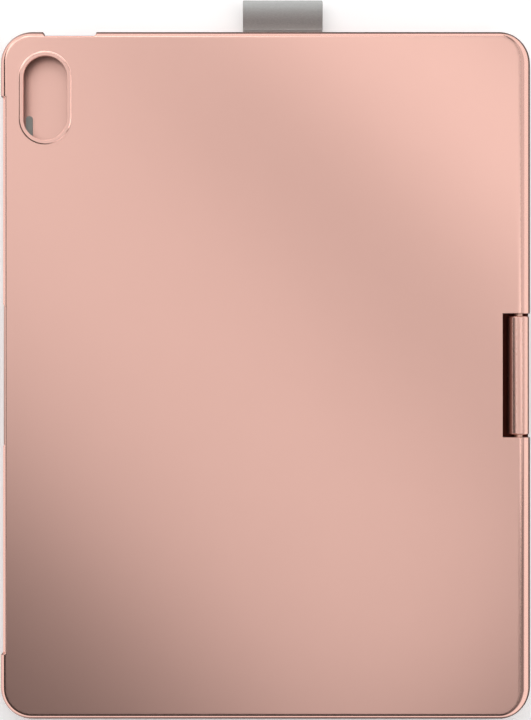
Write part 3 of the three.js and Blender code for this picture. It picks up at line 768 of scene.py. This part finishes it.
def build_spine_trims():
    """The strips that close the bracket pockets."""
    for side, s in (("left", -1), ("right", 1)):
        low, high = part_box(f"spine_trim_{side}")
        x0, x1 = (low.x - MIDDLE_X) / MM, (high.x - MIDDLE_X) / MM
        y0, y1 = low.y / MM, high.y / MM
        z0, z1 = low.z / MM, high.z / MM

        def outline(inset):
            return rect(x0 + inset, x1 - inset, y0 + inset, y1 - inset, 0.8 - inset, 5)

        trim = slab(f"spine_strip_{side}", outline, [*arc_profile(0.2, z0, up=False), (0, z1)])
        smooth(trim)
        add(trim, ROSE_METAL, "lid", "shell", f"spine_trim_{side}")


# ---------------------------------------------------------------- hinge
def on_hinge(u, v, h):
    """Round the hinge's axis, h along it."""
    return P(h, HINGE_Y + u, HINGE_Z + v)


def build_hinge():
    """The barrel with bores for its pins and its post, and the pins."""
    edge = BARREL_EDGE
    ends = [(BARREL_R - edge * (1 - math.sin(a)), BARREL_X - edge * (1 - math.cos(a)))
            for a in (math.pi / 2 * k / 4 for k in range(5))]
    outer = ends + [(r, -h) for r, h in reversed(ends)]
    barrel = lathe("barrel_skin", outer, on_hinge, fine=96)
    # its upper half is a little flatter than round
    for vertex in barrel.data.vertices:
        above = vertex.co.z - HINGE_Z * MM
        vertex.co.z -= max(0.0, above) * (1 - BARREL_FLAT)
    tools = []
    for s in (-1, 1):
        x0, x1 = sorted((s * (BARREL_X - PIN_DEEP), s * (BARREL_X + 1)))
        tools.append(prism_x(circle(HINGE_Y, HINGE_Z, PIN_R + 0.05, 24), x0, x1))
    tools.append(prism(circle(0, HINGE_Y, POST_HOLE_R), HINGE_Z - BARREL_R - 1, POST_HOLE_TOP))
    carve(barrel, *tools)
    soften(barrel, 0.1, segments=2, angle=40)
    smooth(barrel, 30)
    add(barrel, BARREL_METAL, "swivel", "shell", "hinge_barrel")

    for side, s in (("left", -1), ("right", 1)):
        low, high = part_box(f"hinge_pin_{side}")
        x0, x1 = (low.x - MIDDLE_X) / MM, (high.x - MIDDLE_X) / MM
        profile = [(PIN_R - 0.3, x0), (PIN_R, x0 + 0.3), (PIN_R, x1 - 0.3), (PIN_R - 0.3, x1)]
        pin = lathe(f"pin_{side}", profile, on_hinge, fine=32)
        smooth(pin)
        add(pin, PLATED_STEEL, "swivel", "hardware", f"hinge_pin_{side}")


# ---------------------------------------------------------------- base
def base_at(inset, fine=16):
    front, rear = BASE_FRONT + inset, BASE_REAR - inset
    return rect(-BASE_X + inset, BASE_X - inset, front, rear, BASE_CORNER - inset, fine)


def key_rows():
    """Every key as (node, x0, x1, y0, y1), from rows of widths in units of one key's pitch.

    A key belongs to its row's node unless it is named as a key of its own.
    """
    one = [1.0]
    rows = [
        ("function_row_keys", [ROW_UNITS / 14] * 14, {}),
        ("number_row_keys", one * 13 + [1.5], {13: "backspace_key"}),
        ("upper_letter_keys", [1.5] + one * 13, {0: "tab_key"}),
        ("home_letter_keys", [1.75] + one * 11 + [1.75], {0: "caps_lock_key", 12: "enter_key"}),
        ("lower_letter_keys", [2.25] + one * 10 + [2.25],
         {0: "left_shift_key", 11: "right_shift_key"}),
        ("left_modifier_keys", [1, 1, 1, 1.25, 5, 1.25, 1, 1, 1, 1],
         {4: "space_bar", 5: "right_modifier_keys", 6: "right_modifier_keys",
          7: "arrow_left_key", 8: "arrow_up_key", 9: "arrow_right_key"}),
    ]
    out = []
    rear = KEY_REAR
    for index, (web, widths, own) in enumerate(rows):
        pitch = KEY_PITCH if index else FUNCTION_PITCH
        y1 = rear - KEY_SPACE / 2
        y0 = y1 - (pitch - KEY_SPACE)
        left = -ROW_UNITS * KEY_PITCH / 2
        for i, units in enumerate(widths):
            x0 = left + KEY_SPACE / 2
            x1 = left + units * KEY_PITCH - KEY_SPACE / 2
            node = own.get(i, web)
            if node == "arrow_up_key":
                middle = (y0 + y1) / 2
                out.append((node, x0, x1, middle + HALF_KEY_SPACE, y1))
                out.append(("arrow_down_key", x0, x1, y0, middle - HALF_KEY_SPACE))
            else:
                out.append((node, x0, x1, y0, y1))
            left += units * KEY_PITCH
        rear -= pitch
    return out


KEYS = key_rows()
KEYS_LEFT = min(key[1] for key in KEYS)
KEYS_FRONT = min(key[3] for key in KEYS)


def pad_at(inset, fine=6):
    front, rear = PAD_FRONT + inset, PAD_REAR - inset
    return rect(-PAD_X + inset, PAD_X - inset, front, rear, PAD_CORNER - inset, fine)


def deck_tools():
    """All that is cut out of the deck."""
    e = BASE_WALL
    back_x, back_y = SCOOP_BACK_X, BASE_FRONT + SCOOP_BACK_DEEP
    room = rounded(
        [
            (-BASE_X + e, BASE_FRONT + e), (-back_x, BASE_FRONT + e), (-back_x, back_y),
            (back_x, back_y), (back_x, BASE_FRONT + e), (BASE_X - e, BASE_FRONT + e),
            (BASE_X - e, BASE_REAR - e), (-BASE_X + e, BASE_REAR - e),
        ],
        [BASE_CORNER - e, 0, 0, 0, 0, BASE_CORNER - e, BASE_CORNER - e, BASE_CORNER - e],
        fine=8,
    )
    hollow = prism(room, DECK_LOW - 1, DECK_UNDER)
    left, near = KEYS_LEFT - WELL_MARGIN, KEYS_FRONT - WELL_MARGIN
    well = prism(rect(left, -left, near, KEY_REAR + 1, WELL_CORNER, 6), WELL_FLOOR, BASE_TOP + 1)
    c = KEY_CLEAR
    openings = [
        prism(rect(x0 - c, x1 + c, y0 - c, y1 + c, KEY_CORNER, 3), DECK_UNDER - 1, WELL_FLOOR + 0.5)
        for _, x0, x1, y0, y1 in KEYS
    ]
    openings.append(prism(pad_at(-PAD_CLEAR), DECK_UNDER - 1, BASE_TOP + 1))
    light = circle(LIGHT_X, LIGHT_Y, LIGHT_R + 0.2, 24)
    openings.append(prism(light, DECK_UNDER - 1, BASE_TOP + 1))
    rear_gap = rect(-REAR_GAP_X, REAR_GAP_X, REAR_GAP_Y, BASE_REAR + 2)
    rear_gap = prism(rear_gap, DECK_LOW - 1, BASE_TOP + 1)
    scoop = prism(
        [
            (-SCOOP_RIM - 1, BASE_FRONT - 1), (SCOOP_RIM + 1, BASE_FRONT - 1),
            (SCOOP_RIM, BASE_FRONT), (SCOOP_FLOOR, BASE_FRONT + SCOOP_DEEP),
            (-SCOOP_FLOOR, BASE_FRONT + SCOOP_DEEP), (-SCOOP_RIM, BASE_FRONT),
        ],
        SCOOP_LOW,
        BASE_TOP + 1,
    )
    port = capsule(PORT_Y, PORT_Z, PORT_LONG + 0.8, PORT_HIGH + 0.8)
    port = prism_x(port, BASE_X - 3, BASE_X + 1)
    switch = prism_x(capsule(SWITCH_Y, SWITCH_Z, 7.4, 2.0), -BASE_X - 1, -BASE_X + 3)
    half, clear = LOOP_WIDE / 2, 0.4
    loop_slot = rect(LOOP_Y - half - clear, LOOP_Y + half + clear, LOOP_Z - 0.9, LOOP_Z + 0.9, clear)
    loop_slot = prism_x(loop_slot, -BASE_X - 1, -BASE_X + 3)
    sides = join("tool", [port, switch, loop_slot])
    return hollow, well, join("tool", openings), rear_gap, scoop, sides


def build_base():
    """The top deck and the bottom cover."""
    edge = [(0, DECK_LOW), (0, BASE_TOP - DECK_SLOPE_HIGH), (DECK_SLOPE, BASE_TOP)]
    deck = slab("deck_shell", base_at, edge)
    carve(deck, *deck_tools())
    soften(deck, 0.12)
    smooth(deck)
    add(deck, ROSE_METAL, "base", "shell", "base_top_deck")

    profile = [*arc_profile(COVER_FILLET, COVER_LOW, up=False, fine=8), (0, COVER_TOP)]
    cover = slab("bottom_plate", base_at, profile)
    tools = []
    for x, y in SCREWS:
        sink = circle(x, y, SCREW_HEAD_R + 0.3, 24)
        tools.append(prism(sink, COVER_LOW - 1, COVER_LOW + 0.85))
    carve(cover, join("tool", tools))
    soften(cover, 0.1)
    smooth(cover)
    add(cover, ROSE_METAL, "base", "shell", "base_bottom_cover")


def build_screws():
    """Screws with a rounded head below and a six-lobed recess."""
    head, shank = SCREW_HEAD_R, SCREW_SHANK_R
    for i, (x, y) in enumerate(SCREWS):
        low = COVER_LOW + SCREW_SUNK
        profile = [(head - 0.4, low), (head - 0.1, low + 0.1), (head, low + 0.3), (head, low + 0.7)]
        profile += [(shank, low + 0.7), (shank, SCREW_TOP)]
        screw = lathe(f"screw_{i + 1}", profile, lambda u, v, h: P(x + u, y + v, h), fine=24)
        lobes = [
            (x + (0.62 + 0.16 * math.cos(6 * a)) * math.cos(a),
             y + (0.62 + 0.16 * math.cos(6 * a)) * math.sin(a))
            for a in (2 * math.pi * k / 48 for k in range(48))
        ]
        carve(screw, prism(lobes, low - 1, low + 0.4))
        smooth(screw, 30)
        add(screw, STEEL, "base", "hardware", f"bottom_screw_{i + 1}")


def build_feet_and_bumpers():
    """A foot under each corner, and near it a strip on the deck for the lid to rest on."""
    for i, (sx, sy) in enumerate(CORNERS):
        def foot_at(inset):
            long, wide = FOOT_LONG - 2 * inset, FOOT_WIDE - 2 * inset
            return capsule(sx * FOOT_X, sy * FOOT_Y, long, wide, fine=12)

        profile = [*arc_profile(0.5, 0.0, up=False, fine=5), (0, COVER_LOW)]
        foot = slab(f"foot_{i + 1}", foot_at, profile)
        smooth(foot)
        add(foot, RUBBER, "base", "grey_rubber", f"rubber_foot_{i + 1}")

        y = BUMPER_FRONT if sy < 0 else BUMPER_REAR

        def bumper_at(inset):
            long, wide = BUMPER_LONG - 2 * inset, BUMPER_WIDE - 2 * inset
            return capsule(sx * BUMPER_X, y, long, wide, fine=10)

        top = BASE_TOP + BUMPER_HIGH
        profile = [(0, BASE_TOP - 0.02), *arc_profile(0.3, top, fine=4), (0.75, top)]
        bumper = slab(f"bumper_{i + 1}", bumper_at, profile)
        smooth(bumper)
        add(bumper, RUBBER, "base", "grey_rubber", f"deck_bumper_{i + 1}")


# ---------------------------------------------------------------- keys and trackpad
def keycap(x0, x1, y0, y1):
    """A cap with rounded corners and edges and a slightly dished top."""
    edge = KEY_EDGE
    small = min(x1 - x0, y1 - y0)
    corner = min(KEY_CORNER, small / 3)

    def outline(inset):
        r = max(corner - inset * 0.6, 0.3)
        return rect(x0 + inset, x1 - inset, y0 + inset, y1 - inset, r, 5)

    profile = [(0.0, KEY_LOW), (0.1, KEY_TOP - edge)]
    profile += [(0.1 + i, z) for i, z in arc_profile(edge, KEY_TOP, fine=4)[1:]]
    # the dish: how far in, and how deep there
    for share, sink in ((0.35, 0.06), (0.6, 0.1), (0.85, 0.12)):
        profile.append((0.1 + edge + (small / 2 - edge - 0.2) * share * 0.9, KEY_TOP - sink))
    return slab("cap", outline, profile)


def build_keys():
    caps = {}
    for node, x0, x1, y0, y1 in KEYS:
        caps.setdefault(node, []).append(keycap(x0, x1, y0, y1))
    for node, parts in caps.items():
        name = node.replace("_keys", "_caps").replace("_key", "_cap").replace("_bar", "_cap")
        obj = join(name, parts)
        smooth(obj)
        add(obj, KEY_PLASTIC, node, "keycaps", node)


def build_trackpad():
    pad = slab("trackpad_face", pad_at, [(0, PAD_LOW), *arc_profile(0.3, PAD_TOP, fine=5)])
    smooth(pad)
    add(pad, TRACKPAD, "trackpad", "trackpad_face", "trackpad_plate")


# ---------------------------------------------------------------- stylus loop and small parts
def drop_section(tip, neck, high, offset, first):
    """A drop in X and Z, pinched at its neck and moved out by an offset.

    It runs round from one angle to its mirror image, counted from the neck.
    """
    half = (neck - tip) / 2
    rise = high / 2 / (0.75 * math.sqrt(3))
    out = []
    fine = 96
    for k in range(fine + 1):
        a = first + (2 * math.pi - 2 * first) * k / fine
        run, climb = -half * math.sin(a), rise * (math.cos(a) - math.cos(2 * a))
        length = math.hypot(run, climb)
        x = (tip + neck) / 2 + half * math.cos(a) + offset * climb / length
        z = LOOP_Z + rise * math.sin(a) * (1 - math.cos(a)) - offset * run / length
        out.append((x, z))
    return out


def build_loop():
    """An elastic band folded round into a loop, its two ends running into the base together."""
    tip, inside = LOOP_TIP + LOOP_THICK, LOOP_HIGH - 2 * LOOP_THICK
    y0, y1 = LOOP_Y - LOOP_WIDE / 2, LOOP_Y + LOOP_WIDE / 2
    shut = 0.01  # the drop's first angle, where it is all but closed at its neck
    outer = drop_section(tip, LOOP_NECK, inside, LOOP_THICK, shut)
    inner = drop_section(tip, LOOP_NECK, inside, 0.0, math.pi / 6)
    band = prism_y(outer, y0, y1, "elastic_loop")
    carve(band, prism_y(inner, y0 - 1, y1 + 1))
    tail_end = -BASE_X + BASE_WALL + 3
    tail = prism_y(rect(LOOP_NECK - LOOP_THICK, tail_end, LOOP_Z - 0.5, LOOP_Z + 0.5), y0, y1)
    carve(band, tail, how="UNION")
    soften(band, 0.3, segments=3, angle=50)
    smooth(band)
    add(band, WEBBING, "base", "elastic", "pencil_loop")


def build_port():
    """A metal shell with a tongue in it."""
    mouth = BASE_X - 0.5
    outside = capsule(PORT_Y, PORT_Z, PORT_LONG, PORT_HIGH, fine=16)
    inside = capsule(PORT_Y, PORT_Z, PORT_LONG - 2 * PORT_WALL, PORT_HIGH - 2 * PORT_WALL, fine=16)
    shell = prism_x(outside, mouth - 7.5, mouth, "port_shell")
    carve(shell, prism_x(inside, mouth - 6.5, mouth + 1))
    half, thin = 3.1, 0.35
    tongue = rect(PORT_Y - half, PORT_Y + half, PORT_Z - thin, PORT_Z + thin, 0.15, 3)
    carve(shell, prism_x(tongue, mouth - 7, mouth - 1), how="UNION")
    soften(shell, 0.08)
    smooth(shell)
    add(shell, STEEL, "base", "hardware", "charging_port")


def build_switch():
    """A grooved knob on a plate that slides behind the wall."""
    low, high = -BASE_X - KNOB_OUT, -BASE_X + 3.4
    y0, y1 = SWITCH_Y - KNOB_FRONT, SWITCH_Y - KNOB_REAR
    half = KNOB_HIGH / 2
    knob = prism_x(rect(y0, y1, SWITCH_Z - half, SWITCH_Z + half, 0.3, 4), low, high, "switch_knob")
    half = KNOB_PLATE_HIGH / 2
    plate = rect(SWITCH_Y - KNOB_PLATE_LONG, SWITCH_Y, SWITCH_Z - half, SWITCH_Z + half, 0.2, 3)
    carve(knob, prism_x(plate, -BASE_X + KNOB_PLATE_IN, high), how="UNION")
    grooves = [
        prism(rect(low - 1, low + 0.18, y - 0.12, y + 0.12), SWITCH_Z - 2, SWITCH_Z + 2)
        for y in (y0 + 0.7, (y0 + y1) / 2, y1 - 0.7)
    ]
    carve(knob, join("tool", grooves))
    soften(knob, 0.05)
    smooth(knob)
    add(knob, DARK, "power_switch", "dark_plastic", "power_switch_knob")


def build_light():
    """A clear pipe that ends just under the deck's surface."""
    r, top = LIGHT_R, BASE_TOP
    profile = [(r - 0.1, 5.2), (r, 5.3), (r, top - 0.2), (r - 0.1, top - 0.08), (0.55, top - 0.05)]
    pipe = lathe("status_light", profile, lambda u, v, h: P(LIGHT_X + u, LIGHT_Y + v, h), fine=24)
    smooth(pipe, 50)
    add(pipe, CLEAR, "base", "clear_plastic", "status_light_pipe")


def paint_hidden_nodes():
    """The CAD nodes that stay get a finish of their own."""
    finishes = {
        "key_dome_sheet": SILICONE,
        "backlight_panel": CLEAR,
        "battery_left": FOIL,
        "battery_right": FOIL,
        "main_board": BOARD,
        "power_switch_body": DARK,
        "trackpad_click_switch": DARK,
        "hinge_block": BRONZE,
        "swivel_post": BRONZE,
        "swivel_washer": BRONZE,
    }
    steel_nodes = [
        "key_support_plate", "trackpad_bracket", "pencil_loop_clamp", "swivel_nut",
        "lid_hinge_bracket_left", "lid_hinge_bracket_right",
    ]
    for name in steel_nodes:
        finishes[name] = STEEL
    for name, material in finishes.items():
        paint(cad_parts[name], material)


# ---------------------------------------------------------------- camera, light, floor
# the camera's height over the lid, how long its frame is there, and where its middle is
CAMERA_FAR, FRAME_LONG = 800.0, 263.45
FRAME_X, FRAME_Y = -5.65, -0.09
SENSOR = 36
# the surround's brightness: below the horizon, the same in front, in a ring above the horizon,
# high up, the same towards the rear, and straight overhead
BELOW, BELOW_FRONT, RING = 0.12, 0.8, 1.25
HIGH, HIGH_REAR, ZENITH = 0.03, 0.25, 0.08
# the ring's first and last elevation in degrees, beside the case, in front of it and behind it
RISE, RISE_FRONT, RISE_REAR, RING_END, RING_END_REAR = 2, -6, -18, 24, 30
# where the overhead panels are, in metres
REAR_STRIP, FRONT_STRIP, CORNER_FILL = (-0.241, 0.034), (-0.158, -0.223), (0.24, 0.20)


def add_camera():
    """Straight above, with the hinge to the right and the loop at the top."""
    data = bpy.data.cameras.new("camera")
    camera = bpy.data.objects.new("camera", data)
    bpy.context.scene.collection.objects.link(camera)
    data.sensor_fit = "AUTO"
    data.sensor_width = SENSOR
    data.lens = SENSOR * CAMERA_FAR / FRAME_LONG
    data.clip_start, data.clip_end = 0.05, 20
    # image right is +Y and image up is -X
    turn = Matrix(((0, -1, 0), (1, 0, 0), (0, 0, 1)))
    place = Matrix.Translation(P(FRAME_X, FRAME_Y, LID_TOP + CAMERA_FAR))
    camera.matrix_world = place @ turn.to_4x4()
    bpy.context.scene.camera = camera


def panel(name, position, size, radiance, target=(0, 0, 0), roll=0.0):
    """A soft panel facing a target, as bright as its radiance says and turned by a roll."""
    data = bpy.data.lights.new(name, "AREA")
    data.shape = "RECTANGLE"
    data.size, data.size_y = size
    data.energy = radiance * math.pi * size[0] * size[1]
    obj = bpy.data.objects.new(name, data)
    facing = (Vector(target) - Vector(position)).to_track_quat("-Z", "Y").to_matrix().to_4x4()
    obj.matrix_world = Matrix.Translation(position) @ facing @ Matrix.Rotation(roll, 4, "Z")
    bpy.context.scene.collection.objects.link(obj)
    return obj


def add_surround():
    """A studio that is bright in a ring above the horizon, dark high up and dim below.

    Towards the front it is bright below too, as a pale table is, and the ring starts lower.
    Towards the rear the ring starts lower still and ends higher, and it is less dark above.
    """
    world = bpy.data.worlds.new("world")
    bpy.context.scene.world = world
    world.use_nodes = True
    tree = world.node_tree
    place = tree.nodes.new("ShaderNodeTexCoord")
    split = tree.nodes.new("ShaderNodeSeparateXYZ")
    tree.links.new(place.outputs["Generated"], split.inputs["Vector"])

    def ranged(value, from_low, from_high, to_low, to_high):
        node = tree.nodes.new("ShaderNodeMapRange")
        for name, number in zip(("From Min", "From Max", "To Min", "To Max"),
                                (from_low, from_high, to_low, to_high)):
            node.inputs[name].default_value = number
        tree.links.new(value, node.inputs["Value"])
        return node.outputs["Result"]

    height = ranged(split.outputs["Z"], -1, 1, 0, 1)
    front = ranged(split.outputs["Y"], -0.6, 0.0, 1, 0)
    rear = ranged(split.outputs["Y"], 0.2, 0.6, 0, 1)

    def levels(below, horizon, high, ring_end):
        """The brightness by elevation, as a curve that goes straight from point to point."""
        curve = tree.nodes.new("ShaderNodeFloatCurve")
        steps = [(-90, below), (horizon - 6, below), (horizon + 6, RING)]
        steps += [(ring_end, RING), (ring_end + 10, high), (60, high), (72, ZENITH), (90, ZENITH)]
        points = curve.mapping.curves[0].points
        for _ in steps[1:-1]:
            points.new(0, 0)
        for point, (elevation, level) in zip(points, steps):
            point.location = ((math.sin(math.radians(elevation)) + 1) / 2, level / RING)
            point.handle_type = "VECTOR"
        curve.mapping.update()
        tree.links.new(height, curve.inputs["Value"])
        return curve.outputs["Value"]

    def blend(factor, plain, other):
        node = tree.nodes.new("ShaderNodeMix")
        for name, value in (("Factor", factor), ("A", plain), ("B", other)):
            tree.links.new(value, node.inputs[name])
        return node.outputs["Result"]

    sides = levels(BELOW, RISE, HIGH, RING_END)
    around = blend(front, sides, levels(BELOW_FRONT, RISE_FRONT, HIGH, RING_END))
    around = blend(rear, around, levels(BELOW, RISE_REAR, HIGH_REAR, RING_END_REAR))
    background = tree.nodes["Background"]
    tree.links.new(around, background.inputs["Color"])
    background.inputs["Strength"].default_value = RING


def add_light():
    """Two slanting strips overhead make the bands on the flat lid; a faint panel lifts a corner.

    Two panels to the sides light the rest.
    """
    add_surround()

    def overhead(name, middle, height, size, radiance, roll=0.0):
        return panel(name, (*middle, height), size, radiance, (*middle, 0), roll)

    slant = math.radians(45)
    overhead("rear_strip", REAR_STRIP, 0.5, (0.88, 0.105), 1.7, slant)
    overhead("corner_fill", CORNER_FILL, 0.6, (0.2, 0.3), 0.17)
    overhead("front_strip", FRONT_STRIP, 0.5, (1.0, 0.23), 0.985, slant)
    panel("key", (-0.85, -0.25, 0.95), (1.5, 0.9), 1.15)
    panel("rear_fill", (-0.25, 0.65, 0.9), (0.8, 0.7), 0.6)


def add_floor():
    """The floor under the case. The metal does not mirror it."""
    bpy.ops.mesh.primitive_plane_add(size=40, location=(0, 0, 0))
    floor = bpy.context.object
    floor.name = "floor"
    floor.visible_glossy = False
    paint(floor, pale_floor())


add_camera()
add_light()
add_floor()
build_lid()
build_tray_lining()
build_spine_trims()
build_hinge()
build_base()
build_screws()
build_feet_and_bumpers()
build_keys()
build_trackpad()
build_loop()
build_port()
build_switch()
build_light()
paint_hidden_nodes()

bpy.context.scene.view_settings.view_transform = "Standard"
